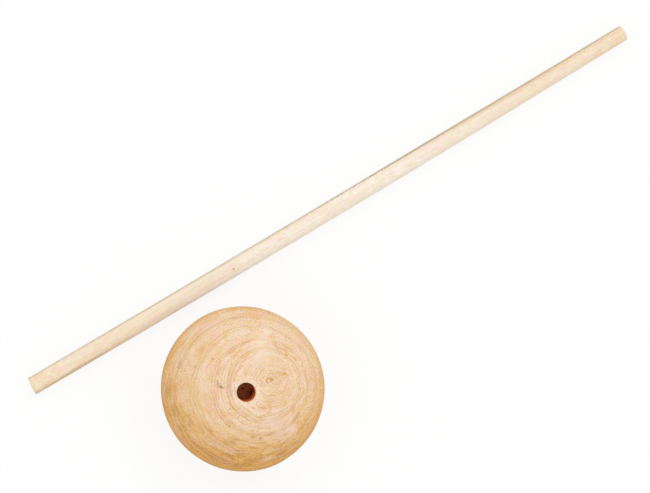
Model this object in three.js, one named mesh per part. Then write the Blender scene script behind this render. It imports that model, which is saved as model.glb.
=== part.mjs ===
// A wooden spinning top, knocked down flat: a round turned body with a blind socket in its top,
// and the long dowel stem that plugs into that socket, lying loose beside it.
//
// Millimetres, +Z up. Both pieces lie on the plane z = 0. The origin is the middle of the foot
// that the body stands on, +Z is the body's own axis, and +X runs along the stem, towards its tip.

import * as THREE from 'three';

// ---------------------------------------------------------------- driving dimensions

const BODY_DIAMETER = 70;          // across the body's widest line, half way up
const BODY_HEIGHT = 50;            // from pole to pole of the turned shape
const FOOT_DIAMETER = 10;          // flat sanded on the lower pole
const DIMPLE_DIAMETER = 1.6;       // mark that the drill's centre point leaves in the socket floor
const DIMPLE_DEPTH = 1.0;

const STEM_LENGTH = 300;
const STEM_DIAMETER = 7.9;         // over the plain length, from the butt that plugs in
const STEM_TIP_DIAMETER = 7.0;     // where the stem is slimmest, at its tip
const STEM_TAPER_LENGTH = 130;     // how much of the tip end is slimmed
const STEM_BOW = 0.7;              // how far the middle lies off the line between the two ends
const BUTT_CHAMFER = 0.3;          // edge of the sawn end
const TIP_ROUNDING = 0.6;          // edge of the finger end

const SOCKET_CLEARANCE = 0.15;     // socket diameter over stem diameter, a push fit
const SOCKET_DEPTH = 25;           // from the mouth's rim to the floor
const MOUTH_CHAMFER = 0.35;        // edge broken round the mouth

const LAY_GAP = 6.2;               // from the body's side to the stem's, as they lie
const BUTT_OVERHANG = 76.6;        // how far the butt lies behind the body's axis

const BODY_SIDES = 72;             // flats round the body
const BODY_STEPS = 30;             // steps from the foot to the mouth
const STEM_SIDES = 24;             // flats round the stem
const STEM_STEPS = 16;             // steps along the stem
const ROUNDING_STEPS = 4;          // steps round the tip's edge

// ---------------------------------------------------------------- worked out from them

const bodyRadius = BODY_DIAMETER / 2;
const stemRadius = STEM_DIAMETER / 2;
const tipRadius = STEM_TIP_DIAMETER / 2;
const socketRadius = (STEM_DIAMETER + SOCKET_CLEARANCE) / 2;
const mouthRadius = socketRadius + MOUTH_CHAMFER;

// ---------------------------------------------------------------- helpers

// How far the body's turned shape stands above its middle at a distance from the axis.
function crownHeight(radius) {
  return (BODY_HEIGHT / 2) * Math.sqrt(1 - (radius / bodyRadius) ** 2);
}

// Turns a profile of [radius, height] pairs round its axis, which is left along +Z.
function turned(profile, sides) {
  const points = profile.map(([radius, height]) => new THREE.Vector2(radius, height));
  return new THREE.LatheGeometry(points, sides).rotateX(Math.PI / 2);
}

function wooden(name, geometry, colour) {
  const material = new THREE.MeshStandardMaterial({ color: colour, roughness: 0.62, metalness: 0 });
  const mesh = new THREE.Mesh(geometry, material);
  mesh.name = name;
  return mesh;
}

// ---------------------------------------------------------------- turned body

const middleHeight = crownHeight(FOOT_DIAMETER / 2);
const rimHeight = middleHeight + crownHeight(mouthRadius);
const floorHeight = rimHeight - SOCKET_DEPTH;

function bodyProfile() {
  const profile = [[0, 0]];
  const start = -Math.acos(FOOT_DIAMETER / 2 / bodyRadius);
  const end = Math.acos(mouthRadius / bodyRadius);
  for (let step = 0; step <= BODY_STEPS; step += 1) {
    const angle = start + ((end - start) * step) / BODY_STEPS;
    profile.push([bodyRadius * Math.cos(angle), middleHeight + (BODY_HEIGHT / 2) * Math.sin(angle)]);
  }
  profile.push([socketRadius, rimHeight - MOUTH_CHAMFER]);
  profile.push([socketRadius, floorHeight]);
  profile.push([DIMPLE_DIAMETER / 2, floorHeight]);
  profile.push([0, floorHeight - DIMPLE_DEPTH]);
  return profile;
}

const body = wooden('turned_body', turned(bodyProfile(), BODY_SIDES), 0xe8c69c);

// ---------------------------------------------------------------- stem

// Stem radius at a distance from the butt: plain, then easing down to the tip.
function stemRadiusAt(distance) {
  const slimmed = (distance - (STEM_LENGTH - STEM_TAPER_LENGTH)) / STEM_TAPER_LENGTH;
  const share = THREE.MathUtils.smoothstep(slimmed, 0, 1);
  return THREE.MathUtils.lerp(stemRadius, tipRadius, share);
}

function stemProfile() {
  const profile = [[0, 0], [stemRadius - BUTT_CHAMFER, 0]];
  const plainEnd = STEM_LENGTH - TIP_ROUNDING;
  for (let step = 0; step <= STEM_STEPS; step += 1) {
    const distance = BUTT_CHAMFER + ((plainEnd - BUTT_CHAMFER) * step) / STEM_STEPS;
    profile.push([stemRadiusAt(distance), distance]);
  }
  const edgeRadius = stemRadiusAt(plainEnd) - TIP_ROUNDING;
  for (let step = 1; step <= ROUNDING_STEPS; step += 1) {
    const angle = ((Math.PI / 2) * step) / ROUNDING_STEPS;
    profile.push([edgeRadius + TIP_ROUNDING * Math.cos(angle), plainEnd + TIP_ROUNDING * Math.sin(angle)]);
  }
  profile.push([0, STEM_LENGTH]);
  return profile;
}

// Bends a bar that lies along +X sideways, its middle towards -Y, and leaves its ends square.
function bowed(geometry, length, bow) {
  const place = geometry.getAttribute('position');
  for (let i = 0; i < place.count; i += 1) {
    const along = place.getX(i) / length;
    place.setY(i, place.getY(i) - 4 * bow * along * (1 - along));
  }
  return geometry;
}

const stemBar = turned(stemProfile(), STEM_SIDES).rotateY(Math.PI / 2);
const stem = wooden('stem', bowed(stemBar, STEM_LENGTH, STEM_BOW), 0xf3e4cc);
const layDistance = bodyRadius + LAY_GAP + stemRadius + STEM_BOW;
stem.position.set(-BUTT_OVERHANG, layDistance, stemRadius);

// ---------------------------------------------------------------- the top

const spinningTop = new THREE.Group();
spinningTop.add(body, stem);

export default spinningTop;
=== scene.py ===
"""Looks of a wooden spinning top, knocked down: its turned body and, beside it, its loose stem.

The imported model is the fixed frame. Each piece is modelled in metres where that frame has it, and
stands for the frame's plain solid: the body is turned from a profile, drilled and slightly lumpy,
the stem is drawn out along its own gentle bow. Both are bare wood, with growth rings, fibres and
pores worked out from sizes in millimetres, so that they run through the wood and meet at every edge.
"""

import logging
import math
from collections.abc import Callable
from dataclasses import dataclass, field
from enum import Enum
from typing import Any

import bmesh
import bpy
from mathutils import Matrix, Vector


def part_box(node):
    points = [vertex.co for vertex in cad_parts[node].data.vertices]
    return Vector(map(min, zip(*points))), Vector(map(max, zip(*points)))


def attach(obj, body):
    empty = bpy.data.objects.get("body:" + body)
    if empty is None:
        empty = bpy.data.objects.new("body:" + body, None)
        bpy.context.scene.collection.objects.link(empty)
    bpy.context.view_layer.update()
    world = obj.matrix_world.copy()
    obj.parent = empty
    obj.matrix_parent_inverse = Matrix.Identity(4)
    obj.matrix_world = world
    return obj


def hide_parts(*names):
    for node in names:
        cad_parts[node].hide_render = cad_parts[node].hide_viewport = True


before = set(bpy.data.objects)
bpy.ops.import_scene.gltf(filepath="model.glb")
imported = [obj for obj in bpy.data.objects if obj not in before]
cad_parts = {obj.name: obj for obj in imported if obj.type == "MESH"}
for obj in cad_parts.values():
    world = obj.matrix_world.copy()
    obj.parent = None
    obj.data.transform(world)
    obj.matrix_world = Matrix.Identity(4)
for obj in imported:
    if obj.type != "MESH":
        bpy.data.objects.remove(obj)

LOG = logging.getLogger("spinning_top")
MM = 0.001
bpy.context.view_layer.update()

SAME = 0.001 * MM  # points that are closer than this are one
NEAR = 0.01 * MM  # a place this near to a line or a plane counts as on it
CUT = 0.0001 * MM  # how finely a cut tells one side from the other
CREASE = math.radians(35)  # an edge that bends more than this stays sharp
WAVE_RATE = 20.0  # what a wave texture multiplies its scale by


# ------------------------------------------------------------------ options and small helpers


class Grain(Enum):
    """The way the fibres of a piece of wood run."""

    UPRIGHT = "Z"
    LENGTHWISE = "X"


class Pick(Enum):
    """What is picked in edit mode."""

    POINTS = "VERT"
    EDGES = "EDGE"


def linear(colour: str) -> tuple[float, float, float, float]:
    """Turns an sRGB hex colour into the linear one that a shader takes.

    Args:
        colour: the colour as "#rrggbb".

    Returns:
        Red, green, blue and an alpha of 1.
    """
    shares = [int(colour[i : i + 2], 16) / 255 for i in (1, 3, 5)]
    values = [s / 12.92 if s <= 0.04045 else ((s + 0.055) / 1.055) ** 2.4 for s in shares]
    return values[0], values[1], values[2], 1.0


def add_node(
    tree: bpy.types.NodeTree,
    kind: str,
    options: dict[str, Any] | None = None,
    inputs: dict[str | int, Any] | None = None,
) -> bpy.types.Node:
    """Adds a node, sets its options, and sets or links its inputs.

    Args:
        tree: the node tree of a material or of the world.
        kind: the node's class, without the leading "ShaderNode".
        options: the node's own properties by name.
        inputs: a value for each input, or another node's output to link to it.

    Returns:
        The new node.
    """
    node = tree.nodes.new("ShaderNode" + kind)
    for name, value in (options or {}).items():
        setattr(node, name, value)
    for name, value in (inputs or {}).items():
        if isinstance(value, bpy.types.NodeSocket):
            tree.links.new(value, node.inputs[name])
        else:
            node.inputs[name].default_value = value
    return node


def pick(piece: bpy.types.Object, what: Pick, test: Callable[[Vector], bool]) -> None:
    """Selects, in edit mode, exactly the points or edges whose middle passes a test.

    Args:
        piece: the mesh object that is being edited.
        what: points or edges.
        test: says whether a middle, in metres, is wanted.
    """
    bpy.ops.mesh.select_mode(type=what.value)
    bpy.ops.mesh.select_all(action="DESELECT")
    shape = bmesh.from_edit_mesh(piece.data)
    elements = {Pick.POINTS: shape.verts, Pick.EDGES: shape.edges}[what]
    for element in elements:
        corners = [element] if what is Pick.POINTS else list(element.verts)
        middle = sum((corner.co for corner in corners), Vector()) / len(corners)
        element.select = test(middle)
    shape.select_flush_mode()
    bmesh.update_edit_mesh(piece.data)


def named(name: str) -> bpy.types.Object:
    """Takes the object that was just added, places it in its own mesh, and names both.

    Args:
        name: the piece's name.

    Returns:
        The object.
    """
    piece = bpy.context.object
    bpy.ops.object.transform_apply(location=True, rotation=True, scale=True)
    piece.name = name
    piece.data.name = name
    return piece


def close_and_turn_out() -> None:
    """Joins doubled points of the mesh in edit mode and points its faces outwards."""
    bpy.ops.mesh.select_all(action="SELECT")
    bpy.ops.mesh.remove_doubles(threshold=SAME)
    bpy.ops.mesh.normals_make_consistent(inside=False)


def roughen(
    piece: bpy.types.Object, grain_mm: float, depth_mm: float, weight: Callable[[Vector], float]
) -> None:
    """Moves a surface in and out by soft lumps, as hand work leaves it.

    Args:
        piece: the mesh object.
        grain_mm: how far apart the lumps are.
        depth_mm: how far they reach in and out, from end to end.
        weight: says how much of that a point gets, from 0 to 1, by its place in millimetres.
    """
    group = piece.vertex_groups.new(name="lumps")
    for vertex in piece.data.vertices:
        group.add([vertex.index], min(1.0, max(0.0, weight(vertex.co / MM))), "REPLACE")
    lumps = bpy.data.textures.new(piece.name + "_lumps", "CLOUDS")
    lumps.noise_scale = grain_mm * MM
    lumps.noise_depth = 1
    modifier = piece.modifiers.new("lumps", "DISPLACE")
    modifier.texture = lumps
    modifier.texture_coords = "LOCAL"
    modifier.strength = depth_mm * MM
    modifier.mid_level = 0.5
    modifier.vertex_group = group.name
    bpy.ops.object.modifier_apply(modifier=modifier.name)
    piece.vertex_groups.clear()


def hand_over(piece: bpy.types.Object, body: str, node: str) -> None:
    """Makes a finished piece ride on its body and stand for its plain solid.

    Args:
        piece: the finished mesh object.
        body: the frame's body that carries it.
        node: the frame's node that it stands for.
    """
    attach(piece, body)
    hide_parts(node)
    piece.data.calc_loop_triangles()
    size = [round(side / MM, 1) for side in piece.dimensions]
    LOG.info("%s: %d triangles, %s mm", piece.name, len(piece.data.loop_triangles), size)


# ------------------------------------------------------------------ finishes


@dataclass(frozen=True)
class Mark:
    """A stain, knot, pore streak or pale patch in the wood: its middle and its reach, in mm.

    From above, its middle is at (x, y), it reaches as far along and across as given, and it is turned
    from +X by an angle in degrees. It goes depth deep each way from z. A hollow one is a ring.
    """

    x: float
    y: float
    along: float
    across: float
    turn: float
    colour: str
    strength: float
    z: float = 45.0
    depth: float = 14.0
    hollow: bool = False


class BareWood:
    """A bare wood as its material is made up: a ground colour, and stains laid over it one by one.

    All bare woods share a faint gloss, the strength of their relief, and the way that a mark frays
    and fades at its edge, as shares of the mark's own size. The fraying is 0.9 mm coarse, so that
    it shows; in real wood it is as fine as the fibres.
    """

    gloss: float = 0.3
    relief: float = 0.5
    fray_pitch: float = 0.909
    raggedness: float = 1.2
    whole_to: float = 0.8
    gone_at: float = 1.6
    hollow_steepness: float = 2.5
    hollow_middle: float = 1.8

    def __init__(self, name: str, ground: str) -> None:
        """Starts the material.

        Args:
            name: the material's name.
            ground: the wood's first colour, as sRGB hex.
        """
        self.made = bpy.data.materials.new(name)
        self.made.use_nodes = True
        self.tree = self.made.node_tree
        self.tree.nodes.clear()
        inside = add_node(self.tree, "TexCoord").outputs["Object"]
        scaled = add_node(self.tree, "VectorMath", {"operation": "SCALE"}, {0: inside, "Scale": 1 / MM})
        self.place = scaled.outputs["Vector"]
        self.colour: Any = linear(ground)
        ragged = {"Vector": self.place, "Scale": 1 / self.fray_pitch, "Detail": 2.0}
        self.ragged = add_node(self.tree, "TexNoise", None, ragged).outputs["Fac"]

    def fibres(self, grain: Grain, pitch: float, run: float) -> bpy.types.NodeSocket:
        """Gives noise drawn out along the fibres: dots on end grain, and streaks on side grain.

        Args:
            grain: which way the fibres run.
            pitch: how far apart the streaks are, in millimetres.
            run: how long the streaks are, in millimetres.

        Returns:
            The noise, from 0 to 1 and mostly near a half.
        """
        scale = [1 / pitch] * 3
        scale["XYZ".index(grain.value)] = 1 / run
        drawn = add_node(self.tree, "VectorMath", {"operation": "MULTIPLY"}, {0: self.place, 1: scale})
        noise = add_node(
            self.tree, "TexNoise", None, {"Vector": drawn.outputs[0], "Scale": 1.0, "Detail": 2.0}
        )
        return noise.outputs["Fac"]

    def distance(self, x: float, y: float) -> bpy.types.NodeSocket:
        """Gives how far a place is from an upright line.

        Args:
            x: where the line stands, in millimetres.
            y: the same along Y.

        Returns:
            The distance, in millimetres.
        """
        flat = add_node(
            self.tree, "VectorMath", {"operation": "MULTIPLY"}, {0: self.place, 1: (1.0, 1.0, 0.0)}
        )
        far = {0: flat.outputs[0], 1: (x, y, 0.0)}
        return add_node(self.tree, "VectorMath", {"operation": "DISTANCE"}, far).outputs["Value"]

    def stain(
        self, colour: str, pattern: bpy.types.NodeSocket, most: float, begins: float, whole: float
    ) -> None:
        """Lays a colour over what is there, where a pattern is strong.

        Args:
            colour: the stain's colour, as sRGB hex.
            pattern: the value that the stain follows.
            most: how much of it shows where it is whole, from 0 to 1.
            begins: the pattern's value where the stain begins.
            whole: the pattern's value where it is whole, which may be the lower one.
        """
        share = add_node(
            self.tree,
            "MapRange",
            {"interpolation_type": "SMOOTHSTEP"},
            {"Value": pattern, "From Min": begins, "From Max": whole, "To Min": 0.0, "To Max": most},
        )
        layers = {0: share.outputs["Result"], 6: self.colour, 7: linear(colour)}
        self.colour = add_node(self.tree, "Mix", {"data_type": "RGBA"}, layers).outputs[2]

    def mark(self, mark: Mark) -> None:
        """Lays one mark over the wood, with a ragged edge.

        Args:
            mark: where it is, how large and of what colour.
        """
        centred = add_node(
            self.tree,
            "Mapping",
            {"vector_type": "TEXTURE"},
            {
                "Vector": self.place,
                "Location": (mark.x, mark.y, mark.z),
                "Rotation": (0.0, 0.0, math.radians(mark.turn)),
                "Scale": (mark.along, mark.across, mark.depth),
            },
        )
        away = add_node(
            self.tree, "VectorMath", {"operation": "LENGTH"}, {0: centred.outputs[0]}
        ).outputs["Value"]
        if mark.hollow:
            rim = {0: away, 1: self.hollow_steepness, 2: -self.hollow_middle}
            off = add_node(self.tree, "Math", {"operation": "MULTIPLY_ADD"}, rim)
            away = add_node(self.tree, "Math", {"operation": "ABSOLUTE"}, {0: off.outputs[0]}).outputs[0]
        edge = add_node(
            self.tree, "Math", {"operation": "MULTIPLY_ADD"}, {0: self.ragged, 1: self.raggedness, 2: away}
        )
        self.stain(mark.colour, edge.outputs[0], mark.strength, self.gone_at, self.whole_to)

    def finished(
        self, roughness: float, height: bpy.types.NodeSocket, relief_mm: float
    ) -> bpy.types.Material:
        """Ends the material with its gloss and its fine relief.

        Args:
            roughness: the surface's roughness.
            height: the pattern that the relief follows.
            relief_mm: how deep the relief is.

        Returns:
            The finished material.
        """
        relief = {"Strength": self.relief, "Distance": relief_mm * MM, "Height": height}
        bump = add_node(self.tree, "Bump", None, relief)
        shader = add_node(
            self.tree,
            "BsdfPrincipled",
            None,
            {
                "Base Color": self.colour,
                "Roughness": roughness,
                "Specular IOR Level": self.gloss,
                "Normal": bump.outputs["Normal"],
            },
        )
        add_node(self.tree, "OutputMaterial", None, {"Surface": shader.outputs[0]})
        return self.made


@dataclass(frozen=True)
class TurnedBirch:
    """Bare birch, turned with its end grain up and sanded, left without oil or wax.

    Birch is a pale, even wood: its rings are thin tan lines with a pinkish cream between, its pores
    are pinpricks, and nothing on it shines. Away from the sapwood it is honey-coloured. Round the
    widest line it is browner: partly the side grain, where the turning runs along the fibres, and partly
    painted shade, where the rim turns away from the light. Lengths and pitches are in millimetres.
    Streaks 1 mm apart are so long that streak_count of them fill a radian of a ring.
    """

    pale: str = "#f6ddbd"
    blush: str = "#f5ceb0"
    rose: str = "#f8c5ae"
    straw: str = "#f0d294"
    honey: str = "#e9b04e"
    amber: str = "#df9838"
    line: str = "#bc8144"
    brown: str = "#a2672a"
    cream: str = "#fbeadb"
    roughness: float = 0.62
    pith: tuple[float, float] = (14.0, -1.5)
    drift: float = 0.4
    ring_pitch: float = 1.0
    luck_pitch: float = 2.857
    wobble_pitch: tuple[float, float, float] = (10.0, 10.0, 33.33)
    wobble_reach: tuple[float, float, float] = (2.4, 2.4, 0.0)
    streak_count: float = 5.0
    cloud_pitch: float = 7.143
    uneven_age: float = 14.0
    sapwood: tuple[float, float] = (8.0, 9.2)
    rim_grain_and_shade_from: tuple[float, float] = (0.1, 0.4)
    rim_grain_and_shade_fray: float = 3.6
    pore_relief: float = -0.6
    strong_rings: tuple[float, ...] = (14.6, 20.0, 26.4, 31.0)
    pale_rings: tuple[float, ...] = (12.6, 17.6, 23.9)
    patches: tuple[Mark, ...] = (
        Mark(-6.0, 23.0, 10.0, 7.0, 10, "#ecc284", 0.4),
        Mark(-19.0, 11.0, 9.0, 6.0, 60, "#e8be82", 0.3),
        Mark(-25.0, 16.5, 6.0, 2.4, 58, "#dfa74a", 0.6),
        Mark(-28.5, 5.0, 9.0, 3.0, 88, "#d9a850", 0.4),
        Mark(-7.5, 29.0, 5.5, 2.4, 18, "#dcab52", 0.55),
        Mark(-6.5, 24.5, 3.0, 1.8, 30, "#e4aa66", 0.5),
        Mark(24.0, 6.0, 4.0, 3.4, 60, "#e2b36a", 0.35),
        Mark(6.2, -8.0, 3.2, 2.4, 0, "#e2b67c", 0.45),
        Mark(11.5, -26.0, 5.0, 2.6, 20, "#dcab58", 0.5),
        Mark(25.5, -10.5, 4.0, 2.6, 60, "#e4b480", 0.3),
        Mark(24.0, -23.0, 9.0, 1.8, 44, "#e09c50", 0.5),
        Mark(-16.0, -14.5, 4.0, 2.8, -50, "#cf984a", 0.5),
        Mark(-9.0, -26.5, 3.6, 2.8, -70, "#d09646", 0.45),
        Mark(1.5, -30.5, 6.0, 2.6, 0, "#c88c3c", 0.45),
        Mark(-19.0, -20.8, 3.6, 1.1, -62, "#a8782e", 0.55),
        Mark(-29.5, -12.0, 6.0, 2.0, 108, "#cf8b38", 0.5),
        Mark(20.6, 10.6, 2.6, 1.3, 88, "#dba860", 0.6),
        Mark(8.1, -1.2, 1.8, 0.7, 80, "#dcb878", 0.6),
        Mark(13.6, -0.6, 2.0, 1.6, 0, "#d9bd92", 0.5),
    )
    pale_patches: tuple[Mark, ...] = (
        Mark(5.5, -20.5, 9.0, 5.5, 0, "#f4dacb", 0.35),
        Mark(-13.0, 10.5, 4.5, 3.5, 60, "#f6dccd", 0.5),
        Mark(11.0, 22.5, 5.5, 2.8, -20, "#f6e6cf", 0.35),
        Mark(20.5, 16.5, 4.5, 2.2, -40, "#f6ead6", 0.5),
        Mark(10.0, 8.5, 6.5, 4.5, 0, "#efd8bc", 0.5),
        Mark(15.5, 12.5, 11.0, 7.0, 50, "#f9e9d2", 0.4),
        Mark(8.5, -23.6, 2.6, 2.0, 0, "#f5e6df", 0.5),
        Mark(3.3, -24.8, 1.8, 1.6, 0, "#f6d2ca", 0.5),
        Mark(2.5, -15.0, 6.5, 4.0, 0, "#f1dcc8", 0.6),
        Mark(-4.8, -26.4, 3.6, 2.0, 10, "#eed3a4", 0.6),
        Mark(-10.0, 25.6, 3.0, 1.6, 40, "#f4e2c4", 0.5),
        Mark(0.3, -0.6, 9.0, 8.5, 0, "#fdf2e2", 0.65),
    )
    strokes: tuple[Mark, ...] = (
        Mark(10.5, -0.7, 1.6, 1.4, 0, "#cf9544", 0.7, hollow=True),
        Mark(10.2, -1.9, 1.7, 1.0, 0, "#f3dcc4", 0.7),
        Mark(11.9, -1.1, 1.1, 0.8, -30, "#b98246", 0.6),
        Mark(16.8, -1.3, 2.4, 0.9, -50, "#dcb150", 0.6),
        Mark(17.3, -2.0, 1.1, 0.9, -30, "#cfa832", 0.7),
        Mark(22.4, 4.4, 1.8, 1.1, 62, "#deae48", 0.5),
        Mark(-7.8, 9.2, 1.7, 0.9, 82, "#a39050", 0.65),
        Mark(-7.7, 7.2, 1.9, 0.9, 130, "#87731f", 0.75),
        Mark(2.3, -8.9, 3.2, 0.9, -42, "#d8964c", 0.55),
        Mark(3.4, 17.2, 3.8, 0.8, 4, "#d9a650", 0.6),
        Mark(10.8, 17.3, 3.4, 0.7, -10, "#d89c58", 0.6),
        Mark(-5.0, 13.4, 3.0, 0.8, 48, "#da9560", 0.45),
        Mark(-4.8, 18.7, 0.8, 0.7, 0, "#b98a58", 0.6),
        Mark(-12.8, 19.6, 0.8, 0.7, 0, "#c0905c", 0.5),
        Mark(-13.4, -8.0, 3.4, 0.7, 107, "#b08f48", 0.5),
        Mark(-7.0, -17.7, 2.0, 1.2, -35, "#bf8a48", 0.5),
        Mark(-4.7, -19.8, 0.9, 0.7, 0, "#8a6c4c", 0.6),
        Mark(0.0, -20.4, 3.2, 0.8, -6, "#b8905a", 0.5),
        Mark(12.0, -20.3, 4.6, 1.2, 28, "#d2a450", 0.5),
        Mark(14.6, -25.6, 1.5, 1.1, -50, "#cfa63c", 0.5),
        Mark(6.0, -32.4, 1.6, 1.2, 60, "#d48448", 0.5),
    )

    def material(self) -> bpy.types.Material:
        """Makes the material.

        Returns:
            The material, with its rings, fibres, pores and marks.
        """
        wood = BareWood("turned_birch", self.pale)
        # Birch's own pores are a tenth of a millimetre wide, too fine to show, so these are coarser.
        pores = wood.fibres(Grain.UPRIGHT, pitch=0.45, run=9.0)
        fibres = wood.fibres(Grain.UPRIGHT, pitch=0.9, run=30.0)
        flecks = wood.fibres(Grain.UPRIGHT, pitch=1.7, run=12.0)
        uneven = {"Vector": wood.place, "Scale": 1 / self.cloud_pitch, "Detail": 4.0}
        clouds = add_node(wood.tree, "TexNoise", None, uneven)
        aged = add_node(
            wood.tree,
            "Math",
            {"operation": "MULTIPLY_ADD"},
            {0: clouds.outputs["Fac"], 1: self.uneven_age, 2: wood.distance(*self.sapwood)},
        ).outputs[0]
        radius, heading = self.ring_radius(wood)
        fine, coarse = (self.streaks(wood, radius, heading, pitch) for pitch in (0.7, 1.8))
        wood.stain(self.blush, clouds.outputs["Fac"], most=0.8, begins=0.38, whole=0.62)
        wood.stain(self.straw, clouds.outputs["Fac"], most=0.45, begins=0.5, whole=0.34)
        wood.stain(self.straw, flecks, most=0.6, begins=0.48, whole=0.66)
        wood.stain(self.blush, flecks, most=0.6, begins=0.48, whole=0.32)
        self.stain_bands(wood, radius, coarse, self.cream, most=0.45, width=1.2, rings=self.pale_rings)
        wood.stain(self.straw, fine, most=0.55, begins=0.5, whole=0.64)
        wood.stain(self.rose, fine, most=0.6, begins=0.48, whole=0.34)
        wood.stain(self.honey, aged, most=0.85, begins=28.0, whole=51.0)
        wood.stain(self.amber, aged, most=0.5, begins=41.0, whole=56.0)
        wood.stain(self.honey, coarse, most=0.42, begins=0.5, whole=0.66)
        wood.stain(self.blush, coarse, most=0.6, begins=0.48, whole=0.32)
        self.stain_years(wood, radius, fine)
        self.stain_bands(wood, radius, coarse, self.line, most=0.35, width=0.4, rings=self.strong_rings)
        wood.stain(self.line, pores, most=0.6, begins=0.54, whole=0.74)
        wood.stain(self.cream, pores, most=0.65, begins=0.46, whole=0.26)
        for mark in (*self.patches, *self.pale_patches, *self.strokes):
            wood.mark(mark)
        worn = add_node(wood.tree, "Math", {"operation": "MULTIPLY"}, {0: fine, 1: aged}).outputs[0]
        wood.stain(self.brown, worn, most=0.3, begins=20.0, whole=29.0)
        # Round the widest line: partly side grain, and partly painted shade where the rim turns away from
        # the light.
        edge = add_node(
            wood.tree,
            "Math",
            {"operation": "MULTIPLY_ADD"},
            {0: fibres, 1: self.rim_grain_and_shade_fray, 2: wood.distance(*self.rim_grain_and_shade_from)},
        )
        wood.stain(self.honey, edge.outputs[0], most=0.5, begins=33.7, whole=36.4)
        wood.stain(self.line, edge.outputs[0], most=0.5, begins=34.9, whole=37.8)
        wood.stain(self.brown, edge.outputs[0], most=0.35, begins=35.9, whole=37.8)
        height = add_node(
            wood.tree, "Math", {"operation": "MULTIPLY_ADD"}, {0: pores, 1: self.pore_relief, 2: fibres}
        )
        return wood.finished(self.roughness, height.outputs[0], relief_mm=0.12)

    def ring_radius(self, wood: BareWood) -> tuple[bpy.types.NodeSocket, bpy.types.NodeSocket]:
        """Works out which growth ring a place is in, and which way it lies from the pith.

        The rings are circles that grew faster on one side, so that their middles drift from the pith
        towards -X by a share of their radius. That makes the radius the root of a quadratic equation.

        Args:
            wood: the wood that the rings are in.

        Returns:
            The radius of the ring there, in millimetres, and the direction as a vector of length 1.
        """
        tree = wood.tree
        slow = add_node(
            tree, "VectorMath", {"operation": "DIVIDE"}, {0: wood.place, 1: self.wobble_pitch}
        )
        wobble = add_node(tree, "TexNoise", None, {"Vector": slow.outputs[0], "Scale": 1.0, "Detail": 2.0})
        centred = add_node(
            tree, "VectorMath", {"operation": "SUBTRACT"}, {0: wobble.outputs["Color"], 1: (0.5, 0.5, 0.5)}
        )
        moved = add_node(
            tree,
            "VectorMath",
            {"operation": "MULTIPLY_ADD"},
            {0: centred.outputs[0], 1: self.wobble_reach, 2: wood.place},
        )
        from_pith = add_node(
            tree, "VectorMath", {"operation": "SUBTRACT"}, {0: moved.outputs[0], 1: (*self.pith, 0.0)}
        )
        across = add_node(
            tree, "VectorMath", {"operation": "MULTIPLY"}, {0: from_pith.outputs[0], 1: (1.0, 1.0, 0.0)}
        )
        parts = add_node(tree, "SeparateXYZ", None, {0: across.outputs[0]})
        lean = add_node(tree, "Math", {"operation": "MULTIPLY"}, {0: parts.outputs["X"], 1: self.drift})
        squared = add_node(
            tree, "VectorMath", {"operation": "DOT_PRODUCT"}, {0: across.outputs[0], 1: across.outputs[0]}
        )
        left = 1 - self.drift**2
        reach = add_node(tree, "Math", {"operation": "MULTIPLY"}, {0: squared.outputs["Value"], 1: left})
        inside = add_node(
            tree,
            "Math",
            {"operation": "MULTIPLY_ADD"},
            {0: lean.outputs[0], 1: lean.outputs[0], 2: reach.outputs[0]},
        )
        root = add_node(tree, "Math", {"operation": "SQRT"}, {0: inside.outputs[0]})
        total = add_node(tree, "Math", {"operation": "ADD"}, {0: root.outputs[0], 1: lean.outputs[0]})
        radius = add_node(tree, "Math", {"operation": "DIVIDE"}, {0: total.outputs[0], 1: left})
        heading = add_node(tree, "VectorMath", {"operation": "NORMALIZE"}, {0: across.outputs[0]})
        return radius.outputs[0], heading.outputs[0]

    def streaks(
        self,
        wood: BareWood,
        radius: bpy.types.NodeSocket,
        heading: bpy.types.NodeSocket,
        pitch: float,
    ) -> bpy.types.NodeSocket:
        """Gives noise drawn out along the growth rings.

        Args:
            wood: the wood that the rings are in.
            radius: the radius of the ring at each place, in millimetres.
            heading: the direction of the place from the pith.
            pitch: how far apart the streaks are, in millimetres. The coarser ones are longer.

        Returns:
            The noise, from 0 to 1 and mostly near a half.
        """
        rate = self.streak_count / math.sqrt(pitch)
        round_it = add_node(
            wood.tree, "VectorMath", {"operation": "SCALE"}, {0: heading, "Scale": rate}
        )
        level = add_node(wood.tree, "Math", {"operation": "DIVIDE"}, {0: radius, 1: pitch})
        outwards = add_node(wood.tree, "CombineXYZ", None, {"Z": level.outputs[0]})
        sum_of_both = {0: round_it.outputs[0], 1: outwards.outputs[0]}
        unrolled = add_node(wood.tree, "VectorMath", {"operation": "ADD"}, sum_of_both)
        noise = {"Vector": unrolled.outputs[0], "Scale": 1.0, "Detail": 3.0}
        return add_node(wood.tree, "TexNoise", None, noise).outputs["Fac"]

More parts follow.
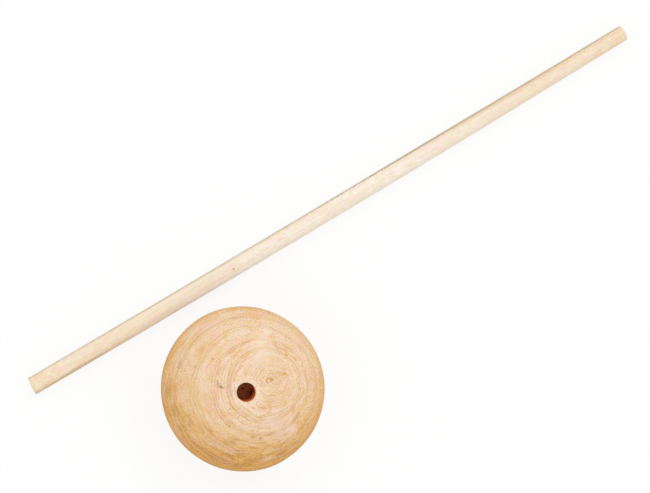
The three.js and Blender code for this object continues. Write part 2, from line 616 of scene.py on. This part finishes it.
    def stain_years(
        self, wood: BareWood, radius: bpy.types.NodeSocket, fine: bpy.types.NodeSocket
    ) -> None:
        """Draws the fine yearly lines, each as strong as chance has it and broken here and there.

        Args:
            wood: the wood that the rings are in.
            radius: the radius of the ring at each place, in millimetres.
            fine: the streaks that break the lines.
        """
        tree = wood.tree
        uneven = add_node(
            tree, "TexNoise", {"noise_dimensions": "1D"}, {"W": radius, "Scale": 1 / self.luck_pitch}
        )
        count = add_node(
            tree,
            "Math",
            {"operation": "MULTIPLY_ADD"},
            {0: radius, 1: 1 / self.ring_pitch, 2: uneven.outputs[0]},
        )
        year = add_node(tree, "Math", {"operation": "FLOOR"}, {0: count.outputs[0]})
        season = add_node(tree, "Math", {"operation": "FRACT"}, {0: count.outputs[0]})
        luck = add_node(tree, "TexWhiteNoise", {"noise_dimensions": "1D"}, {"W": year.outputs[0]})
        chance = add_node(tree, "Math", {"operation": "ADD"}, {0: luck.outputs["Value"], 1: fine})
        late = add_node(
            tree, "Math", {"operation": "MULTIPLY"}, {0: season.outputs[0], 1: chance.outputs[0]}
        )
        wood.stain(self.line, late.outputs[0], most=0.38, begins=0.6, whole=1.3)

    def stain_bands(
        self,
        wood: BareWood,
        radius: bpy.types.NodeSocket,
        coarse: bpy.types.NodeSocket,
        colour: str,
        most: float,
        width: float,
        rings: tuple[float, ...],
    ) -> None:
        """Draws bands along some of the rings, broken up.

        Args:
            wood: the wood that the rings are in.
            radius: the radius of the ring at each place, in millimetres.
            coarse: the streaks that break the bands.
            colour: the bands' colour, as sRGB hex.
            most: how much of it shows, from 0 to 1.
            width: half of a band's width, in millimetres.
            rings: the radius of each band, in millimetres.
        """
        # The streaks are worth two half widths on average, so a band begins one half width off its ring.
        for ring in rings:
            off = add_node(wood.tree, "Math", {"operation": "SUBTRACT"}, {0: radius, 1: ring})
            away = add_node(wood.tree, "Math", {"operation": "ABSOLUTE"}, {0: off.outputs[0]})
            broken = add_node(
                wood.tree,
                "Math",
                {"operation": "MULTIPLY_ADD"},
                {0: coarse, 1: 4.0 * width, 2: away.outputs[0]},
            )
            wood.stain(colour, broken.outputs[0], most, begins=3.0 * width, whole=1.8 * width)


@dataclass(frozen=True)
class DrilledBirch:
    """The same birch inside the socket, rubbed smooth and slightly scorched by the drill.

    It is tan at the mouth and more orange further in. In the depth of the socket the light has gone
    from wall to wall, which turns it red-brown. A dark patch low down on one side is painted shade,
    and so is a dark spot in the dimple of the drill's point. Lengths are in millimetres.
    """

    wall: str = "#ffbf82"
    mouth: str = "#f3bf88"
    lip: str = "#fca552"
    scorched: str = "#d0854e"
    # Painted shade: a dark patch low down on one side of the socket, near its floor.
    painted_deep_shade: Mark = Mark(2.4, -3.7, 3.2, 3.2, 0, "#3a1a0c", 0.7, z=25.5, depth=5.5)
    # Painted shade: a dark spot in the dimple of the drill's point.
    painted_dimple_shade: Mark = Mark(0.0, 0.0, 1.0, 1.0, 0, "#3a1a0c", 0.6, z=24.0, depth=2.0)
    lip_depth: float = 14.0
    mouth_depth: float = 6.0
    turn_pitch: float = 0.6283
    waver: float = 3.0
    roughness: float = 0.55

    def material(self, rim: float) -> bpy.types.Material:
        """Makes the material.

        Args:
            rim: the height of the socket's mouth, in millimetres.

        Returns:
            The material, with its fibres, the drill's rings and its painted shade.
        """
        wood = BareWood("drilled_birch", self.wall)
        height = add_node(wood.tree, "SeparateXYZ", None, {0: wood.place}).outputs["Z"]
        fibres = wood.fibres(Grain.UPRIGHT, pitch=0.5, run=12.0)
        rate = math.tau / WAVE_RATE / self.turn_pitch
        turns = add_node(
            wood.tree,
            "TexWave",
            {"bands_direction": "Z"},
            {"Vector": wood.place, "Scale": rate, "Distortion": self.waver},
        )
        rubbed = add_node(
            wood.tree, "Math", {"operation": "MULTIPLY"}, {0: turns.outputs["Fac"], 1: fibres}
        )
        wood.stain(self.scorched, rubbed.outputs[0], most=0.15, begins=0.15, whole=0.6)
        wood.stain(self.lip, height, most=0.95, begins=rim - self.lip_depth, whole=rim)
        wood.stain(self.mouth, height, most=0.85, begins=rim - self.mouth_depth, whole=rim)
        # Lays the painted shade: the dark patch low in the socket and the spot in the dimple.
        wood.mark(self.painted_deep_shade)
        wood.mark(self.painted_dimple_shade)
        return wood.finished(self.roughness, rubbed.outputs[0], relief_mm=0.1)


@dataclass(frozen=True)
class RaminDowel:
    """Bare ramin dowel, machined round and sanded: very pale and straight-grained.

    Ramin hardly shows its rings. What the eye gets is a cream surface with faint long streaks and
    short darker pore lines, a little yellower towards both ends, where it has been handled. Long tan
    and grey-brown streaks along its edges are painted shade, and a pale streak beside the body is
    painted light.
    """

    cream: str = "#fdf6ea"
    straw: str = "#f4d8b0"
    blush: str = "#fbe7d8"
    golden: str = "#f8ebcc"
    rosy: str = "#fcded3"
    streak: str = "#e8cfa4"
    pore: str = "#c2a67c"
    pore_relief: float = -0.7
    plain_share: float = 0.2
    roughness: float = 0.58
    marks: tuple[Mark, ...] = (
        Mark(23.3, 44.8, 0.8, 0.6, 0, "#9a6a38", 0.9, z=7.0, depth=2.5),
        Mark(130.5, 49.2, 4.0, 0.8, 0, "#6d6253", 0.7, z=5.0, depth=2.5),
        # Painted shade: long tan and grey-brown streaks along the far and near edges, where the round side
        # turns away from the light.
        Mark(74.0, 49.3, 260.0, 1.3, 0, "#c4a986", 0.75, z=5.2, depth=2.0),
        Mark(150.0, 48.9, 120.0, 1.4, 0.3, "#ae9475", 0.8, z=5.3, depth=1.9),
        Mark(-60.0, 42.4, 40.0, 1.1, 0, "#cdb28a", 0.7, z=6.0, depth=3.0),
        Mark(166.0, 48.6, 75.0, 2.4, 0, "#dfc39a", 0.6, z=6.0, depth=2.6),
        Mark(40.0, 49.4, 90.0, 1.7, 0, "#dfc39a", 0.5, z=5.8, depth=2.6),
        # Painted light: a pale streak on the near side, beside the body, lifting the shade that the body
        # casts there.
        Mark(14.0, 42.4, 42.0, 2.6, 0, "#fffbf2", 0.85, z=5.5, depth=4.0),
    )

    def material(self, butt: float, tip: float) -> bpy.types.Material:
        """Makes the material.

        Args:
            butt: where the stem starts along X, in millimetres.
            tip: where it ends.

        Returns:
            The material, with its streaks, pore lines and marks.
        """
        wood = BareWood("ramin_dowel", self.cream)
        # Ramin's own pore lines are 0.2 mm wide, too fine to show, so these are coarser.
        pores = wood.fibres(Grain.LENGTHWISE, pitch=0.3, run=5.0)
        fibres = wood.fibres(Grain.LENGTHWISE, pitch=0.5, run=28.0)
        bands = wood.fibres(Grain.LENGTHWISE, pitch=2.4, run=120.0)
        patches = wood.fibres(Grain.LENGTHWISE, pitch=5.0, run=16.0)
        flecks = wood.fibres(Grain.LENGTHWISE, pitch=1.8, run=3.4)
        along = add_node(wood.tree, "SeparateXYZ", None, {0: wood.place}).outputs["X"]
        middle, half = (butt + tip) / 2, (tip - butt) / 2
        off = add_node(wood.tree, "Math", {"operation": "SUBTRACT"}, {0: along, 1: middle})
        away = add_node(wood.tree, "Math", {"operation": "ABSOLUTE"}, {0: off.outputs[0]}).outputs[0]
        wood.stain(self.straw, away, most=0.9, begins=self.plain_share * half, whole=half)
        wood.stain(self.blush, patches, most=0.6, begins=0.45, whole=0.62)
        wood.stain(self.straw, bands, most=0.2, begins=0.4, whole=0.7)
        wood.stain(self.golden, flecks, most=0.9, begins=0.48, whole=0.62)
        wood.stain(self.rosy, flecks, most=0.65, begins=0.48, whole=0.34)
        wood.stain(self.streak, fibres, most=0.3, begins=0.45, whole=0.75)
        wood.stain(self.pore, pores, most=0.4, begins=0.56, whole=0.76)
        for mark in self.marks:
            wood.mark(mark)
        height = add_node(
            wood.tree, "Math", {"operation": "MULTIPLY_ADD"}, {0: pores, 1: self.pore_relief, 2: fibres}
        )
        return wood.finished(self.roughness, height.outputs[0], relief_mm=0.1)


@dataclass(frozen=True)
class SawnRamin:
    """The dowel's sawn ends: end grain, darker than its side, with the saw's fine lines across it.

    Its pores are as coarse as on the dowel's side. Lengths are in millimetres.
    """

    ground: str = "#efd9b4"
    fibre: str = "#cfa876"
    roughness: float = 0.75
    saw_pitch: float = 0.5
    waver: float = 1.5

    def material(self) -> bpy.types.Material:
        """Makes the material.

        Returns:
            The material, with its pores and saw lines.
        """
        wood = BareWood("sawn_ramin", self.ground)
        pores = wood.fibres(Grain.LENGTHWISE, pitch=0.3, run=5.0)
        wood.stain(self.fibre, pores, most=0.7, begins=0.45, whole=0.7)
        rate = math.tau / WAVE_RATE / self.saw_pitch
        lines = add_node(
            wood.tree,
            "TexWave",
            {"bands_direction": "Z"},
            {"Vector": wood.place, "Scale": rate, "Distortion": self.waver},
        )
        return wood.finished(self.roughness, lines.outputs["Fac"], relief_mm=0.08)


# ------------------------------------------------------------------ turned body


@dataclass
class TurnedBody:
    """The round turned body: an oblate ball with a sanded foot and a blind socket down its axis.

    The box of the frame's node gives its size. The rest is in millimetres.
    """

    foot_width: float = 10.0
    foot_edge: float = 0.8
    socket_width: float = 8.05
    socket_depth: float = 25.0
    mouth_chamfer: float = 0.35
    dimple_width: float = 1.6
    dimple_depth: float = 1.0
    sanded_off: float = 0.15
    oval: float = 0.99
    lump_pitch: float = 26.0
    lump_depth: float = 0.5
    profile_steps: int = 330
    wall_steps: int = 24
    turns: int = 256
    finish: TurnedBirch = field(default_factory=TurnedBirch)
    bore_finish: DrilledBirch = field(default_factory=DrilledBirch)

    def __post_init__(self) -> None:
        """Takes the overall size from the frame and works out the heights."""
        low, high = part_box("turned_body")
        self.radius = (high.x - low.x) / 2
        self.rim = high.z
        self.floor = self.rim - self.socket_depth * MM
        foot = self.foot_width / 2 * MM
        mouth = (self.socket_width / 2 + self.mouth_chamfer) * MM
        shares = [math.sqrt(1 - (r / self.radius) ** 2) for r in (foot, mouth)]
        self.half_height = (high.z - low.z) / sum(shares)
        self.middle = self.half_height * shares[0]

    def build(self) -> None:
        """Models the body, dresses it and hands it over."""
        piece = self.profile()
        self.turn(piece)
        roughen(piece, self.lump_pitch, self.lump_depth, self.hand_sanded)
        bpy.ops.object.shade_smooth_by_angle(angle=CREASE)
        piece.data.materials.append(self.finish.material())
        piece.data.materials.append(self.bore_finish.material(self.rim / MM))
        wall = self.socket_width / 2 * MM
        deepest = self.floor - 2 * self.dimple_depth * MM
        for face in piece.data.polygons:
            drilled = face.center.xy.length < wall and face.center.z > deepest
            face.material_index = int(drilled)
        hand_over(piece, "turned_body", "turned_body")

    def profile(self) -> bpy.types.Object:
        """Draws half of the body's section as a line of edges, from the foot round to the socket floor.

        Returns:
            The line, still in edit mode.
        """
        bpy.ops.object.select_all(action="DESELECT")
        bpy.ops.mesh.primitive_circle_add(
            vertices=self.profile_steps,
            radius=self.radius,
            location=(0, 0, self.middle),
            rotation=(math.pi / 2, 0, 0),
        )
        piece = named("turned_body_shape")
        bpy.ops.object.mode_set(mode="EDIT")
        bpy.ops.mesh.select_all(action="SELECT")
        slimmer = 1 - self.sanded_off * MM / self.radius
        squash = (slimmer, 1, self.half_height / self.radius)
        bpy.ops.transform.resize(value=squash, center_override=(0, 0, self.middle))
        for point, normal, below in (
            ((0, 0, 0), (1, 0, 0), True),
            ((0, 0, 0), (0, 0, 1), True),
            ((0, 0, self.rim), (0, 0, 1), False),
        ):
            bpy.ops.mesh.select_all(action="SELECT")
            bpy.ops.mesh.bisect(
                plane_co=point,
                plane_no=normal,
                clear_inner=below,
                clear_outer=not below,
                threshold=CUT,
            )
        self.extend(piece, lowest=True, steps=[(-self.foot_width / 2, 0)])
        wall = self.socket_depth - self.mouth_chamfer
        into_floor = (self.socket_width - self.dimple_width) / 2
        steps = [(-self.mouth_chamfer, -self.mouth_chamfer), (0, -wall), (-into_floor, 0)]
        steps.append((-self.dimple_width / 2, -self.dimple_depth))
        self.extend(piece, lowest=False, steps=steps)
        foot = self.foot_width / 2 * MM
        pick(piece, Pick.POINTS, lambda at: at.z < NEAR and at.x > foot / 2)
        bpy.ops.mesh.bevel(offset=self.foot_edge * MM, segments=4, affect="VERTICES")
        return piece

    def extend(self, piece: bpy.types.Object, lowest: bool, steps: list[tuple[float, float]]) -> None:
        """Draws the line on from its lowest or highest end.

        Args:
            piece: the line that is being edited.
            lowest: whether to start from the lowest end.
            steps: how far each new point lies from the one before, out and up, in millimetres.
        """
        heights = [vertex.co.z for vertex in bmesh.from_edit_mesh(piece.data).verts]
        end = min(heights) if lowest else max(heights)
        pick(piece, Pick.POINTS, lambda at: abs(at.z - end) < SAME)
        for out, up in steps:
            bpy.ops.mesh.extrude_region_move(TRANSFORM_OT_translate={"value": (out * MM, 0, up * MM)})

    def turn(self, piece: bpy.types.Object) -> None:
        """Turns the profile round the body's axis into a closed solid, a touch narrower along X.

        Args:
            piece: the profile, in edit mode.
        """
        wall = self.socket_width / 2 * MM
        pick(piece, Pick.EDGES, lambda at: abs(at.x - wall) < NEAR and at.z > self.floor)
        bpy.ops.mesh.subdivide(number_cuts=self.wall_steps)
        bpy.ops.mesh.select_all(action="SELECT")
        bpy.ops.mesh.spin(steps=self.turns, angle=2 * math.pi, center=(0, 0, 0), axis=(0, 0, 1))
        close_and_turn_out()
        bpy.ops.transform.resize(value=(self.oval, 1, 1), center_override=(0, 0, 0))
        bpy.ops.object.mode_set(mode="OBJECT")

    def hand_sanded(self, place: Vector) -> float:
        """Says how much hand sanding a point got: none at the foot and the socket, and all far out."""
        return (place.xy.length - self.foot_width / 2) / self.foot_width


# ------------------------------------------------------------------ stem


@dataclass
class Stem:
    """The dowel stem, lying beside the body: plain, slimmer towards its tip, and gently bowed.

    The box of the frame's node gives its length, place and thickness. The rest is in millimetres,
    but the slant is in degrees, and square_on says how squarely a face of an end looks along X.
    """

    tip_width: float = 7.0
    taper_length: float = 130.0
    bow: float = 0.7
    butt_edge: float = 0.25
    tip_edge: float = 0.4
    butt_slant: float = 4.5
    sawn_off: float = 0.02
    shaved: float = 0.06
    square_on: float = 0.95
    lump_pitch: float = 14.0
    stations: int = 100
    sides: int = 64
    finish: RaminDowel = field(default_factory=RaminDowel)
    end_finish: SawnRamin = field(default_factory=SawnRamin)

    def __post_init__(self) -> None:
        """Takes the overall size from the frame."""
        low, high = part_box("stem")
        self.butt, self.tip = low.x, high.x
        self.width = high.z - low.z
        self.height = (high.z + low.z) / 2
        self.side = high.y - self.width / 2

    def centre(self, share: float) -> Vector:
        """Gives the middle of the stem at a share of its length from the butt."""
        sag = 4 * self.bow * MM * share * (1 - share)
        return Vector((self.butt + share * (self.tip - self.butt), self.side - sag, self.height))

    def width_at(self, share: float) -> float:
        """Works out the stem's thickness.

        Args:
            share: the place along the stem, as a share of its length from the butt.

        Returns:
            The thickness there, in metres.
        """
        length = (self.tip - self.butt) / MM
        slimmed = min(1.0, max(0.0, (share - 1) * length / self.taper_length + 1))
        eased = slimmed * slimmed * (3 - 2 * slimmed)
        return self.width + (self.tip_width * MM - self.width) * eased

    def build(self) -> None:
        """Models the stem, dresses it and hands it over."""
        bpy.ops.object.select_all(action="DESELECT")
        bpy.ops.mesh.primitive_circle_add(
            vertices=self.sides,
            radius=self.width / 2 - self.shaved * MM / 2,
            location=self.centre(0),
            rotation=(0, math.pi / 2, 0),
            fill_type="NGON",
        )
        piece = named("stem_shape")
        bpy.ops.object.mode_set(mode="EDIT")
        bpy.ops.mesh.select_all(action="SELECT")
        for station in range(self.stations):
            share, after = station / self.stations, (station + 1) / self.stations
            step = self.centre(after) - self.centre(share)
            bpy.ops.mesh.extrude_region_move(TRANSFORM_OT_translate={"value": step})
            ratio = self.width_at(after) / self.width_at(share)
            bpy.ops.transform.resize(value=(1, ratio, ratio), center_override=self.centre(after))
        close_and_turn_out()
        self.saw_butt(piece)
        self.ease_end(piece, self.at_butt, self.butt_edge, segments=2)
        self.ease_end(piece, self.at_tip, self.tip_edge, segments=5)
        bpy.ops.object.mode_set(mode="OBJECT")
        roughen(piece, self.lump_pitch, self.shaved, lambda place: 1.0)
        bpy.ops.object.shade_smooth_by_angle(angle=CREASE)
        piece.data.materials.append(self.finish.material(self.butt / MM, self.tip / MM))
        piece.data.materials.append(self.end_finish.material())
        for face in piece.data.polygons:
            face.material_index = int(abs(face.normal.x) > self.square_on)
        hand_over(piece, "stem", "stem")

    def at_butt(self, place: Vector) -> bool:
        """Says whether a place lies on the sawn butt, which runs a little aslant."""
        aslant = math.tan(math.radians(self.butt_slant)) * (place.y - self.side + self.width / 2)
        return place.x < self.butt + aslant + self.sawn_off * MM + NEAR

    def at_tip(self, place: Vector) -> bool:
        """Says whether a place lies on the tip's end."""
        return place.x > self.tip - NEAR

    def saw_butt(self, piece: bpy.types.Object) -> None:
        """Saws the butt off a little out of square, shorter on the side away from the body.

        Args:
            piece: the stem, in edit mode.
        """
        tangent = math.tan(math.radians(self.butt_slant))
        near_side = (self.butt + self.sawn_off * MM, self.side - self.width / 2, self.height)
        bpy.ops.mesh.select_all(action="SELECT")
        bpy.ops.mesh.bisect(
            plane_co=near_side,
            plane_no=(-1, tangent, 0),
            use_fill=True,
            clear_outer=True,
            threshold=CUT,
        )

    def ease_end(
        self, piece: bpy.types.Object, at_end: Callable[[Vector], bool], edge: float, segments: int
    ) -> None:
        """Rounds the edge of one end.

        Args:
            piece: the stem, in edit mode.
            at_end: says whether a place lies on that end.
            edge: how far the rounding reaches, in millimetres.
            segments: how many steps the rounding takes.
        """
        pick(piece, Pick.EDGES, at_end)
        bpy.ops.mesh.bevel(offset=edge * MM, segments=segments, profile=0.5)


# ------------------------------------------------------------------ studio


@dataclass(frozen=True)
class Studio:
    """A plain pale floor, soft light from all round and one side, and the camera.

    Lengths are in metres, but the lens is in millimetres, and angles are in degrees.
    """

    camera_at: tuple[float, float, float] = (-0.01598, 0.07493, 0.93759)
    camera_back: tuple[float, float, float] = (-0.08353, 0.04504, 0.99549)
    camera_up: tuple[float, float, float] = (0.51246, 0.8587, 0.00415)
    lens: float = 120.0
    floor_size: float = 6.0
    floor_tone: str = "#e6e6e6"
    lift: float = 0.83
    sky: float = 0.87
    key: float = 0.45
    key_spread: float = 30.0
    key_height: float = 55.0
    key_turn: float = 39.0
    clip: tuple[float, float] = (0.05, 20.0)

    def build(self) -> None:
        """Makes the floor, the lights and the camera."""
        self.make_floor()
        self.make_sky()
        self.make_key()
        self.make_camera()
        bpy.context.scene.view_settings.view_transform = "Standard"

    def make_floor(self) -> None:
        """Makes the floor that both pieces lie on.

        It shows white and keeps their shadows, and it throws back less light than white paper does.
        """
        bpy.ops.object.select_all(action="DESELECT")
        bpy.ops.mesh.primitive_plane_add(size=self.floor_size, location=(0, 0, 0))
        floor = named("studio_floor")
        made = bpy.data.materials.new("studio_paper")
        made.use_nodes = True
        tree = made.node_tree
        tree.nodes.clear()
        seen = self.seen_directly(tree)
        tones = {0: seen, 6: linear(self.floor_tone), 7: linear("#ffffff")}
        tone = add_node(tree, "Mix", {"data_type": "RGBA"}, tones)
        paper = add_node(tree, "BsdfDiffuse", None, {"Color": tone.outputs[2]})
        white = add_node(tree, "Emission", None, {"Color": linear("#ffffff"), "Strength": 1.0})
        share = add_node(tree, "Math", {"operation": "MULTIPLY"}, {0: seen, 1: self.lift})
        mixed = add_node(
            tree, "MixShader", None, {0: share.outputs[0], 1: paper.outputs[0], 2: white.outputs[0]}
        )
        add_node(tree, "OutputMaterial", None, {"Surface": mixed.outputs[0]})
        floor.data.materials.append(made)

    def seen_directly(self, tree: bpy.types.NodeTree) -> bpy.types.NodeSocket:
        """Tells what the eye sees, directly, mirrored or through glass, from stray light.

        Args:
            tree: the node tree that asks.

        Returns:
            1 for what the eye sees, and 0 for stray light.
        """
        path = add_node(tree, "LightPath").outputs
        direct = add_node(
            tree, "Math", {"operation": "MAXIMUM"}, {0: path["Is Camera Ray"], 1: path["Is Glossy Ray"]}
        )
        either = {0: direct.outputs[0], 1: path["Is Transmission Ray"]}
        return add_node(tree, "Math", {"operation": "MAXIMUM"}, either).outputs[0]

    def make_sky(self) -> None:
        """Makes the even light all round, which shows as a white background."""
        world = bpy.data.worlds.new("studio_sky")
        world.use_nodes = True
        bpy.context.scene.world = world
        tree = world.node_tree
        tree.nodes.clear()
        light = add_node(tree, "Background", None, {"Color": linear("#ffffff"), "Strength": self.sky})
        white = add_node(tree, "Background", None, {"Color": linear("#ffffff"), "Strength": 1.0})
        either = {0: self.seen_directly(tree), 1: light.outputs[0], 2: white.outputs[0]}
        mixed = add_node(tree, "MixShader", None, either)
        add_node(tree, "OutputWorld", None, {"Surface": mixed.outputs[0]})

    def make_key(self) -> None:
        """Makes the soft key light, from above and from the stem's side."""
        lamp = bpy.data.lights.new("key_light", "SUN")
        lamp.energy = self.key
        lamp.angle = math.radians(self.key_spread)
        key = bpy.data.objects.new("key_light", lamp)
        bpy.context.scene.collection.objects.link(key)
        height, turn = math.radians(self.key_height), math.radians(self.key_turn)
        level = math.cos(height)
        towards = Vector((level * math.cos(turn), level * math.sin(turn), math.sin(height)))
        key.rotation_mode = "QUATERNION"
        key.rotation_quaternion = towards.to_track_quat("Z", "Y")

    def make_camera(self) -> None:
        """Makes the camera, which looks down on both pieces from almost straight above."""
        camera = bpy.data.objects.new("camera", bpy.data.cameras.new("camera"))
        bpy.context.scene.collection.objects.link(camera)
        camera.data.lens = self.lens
        camera.data.clip_start, camera.data.clip_end = self.clip
        back = Vector(self.camera_back).normalized()
        right = Vector(self.camera_up).cross(back).normalized()
        turned = Matrix((right, back.cross(right), back)).transposed()
        camera.matrix_world = Matrix.Translation(self.camera_at) @ turned.to_4x4()
        bpy.context.scene.camera = camera


# ------------------------------------------------------------------ the top


def main() -> None:
    """Builds the pieces in order, then the studio."""
    logging.basicConfig(level=logging.INFO, format="%(name)s: %(message)s")
    TurnedBody().build()
    Stem().build()
    Studio().build()


if __name__ == "__main__":
    main()
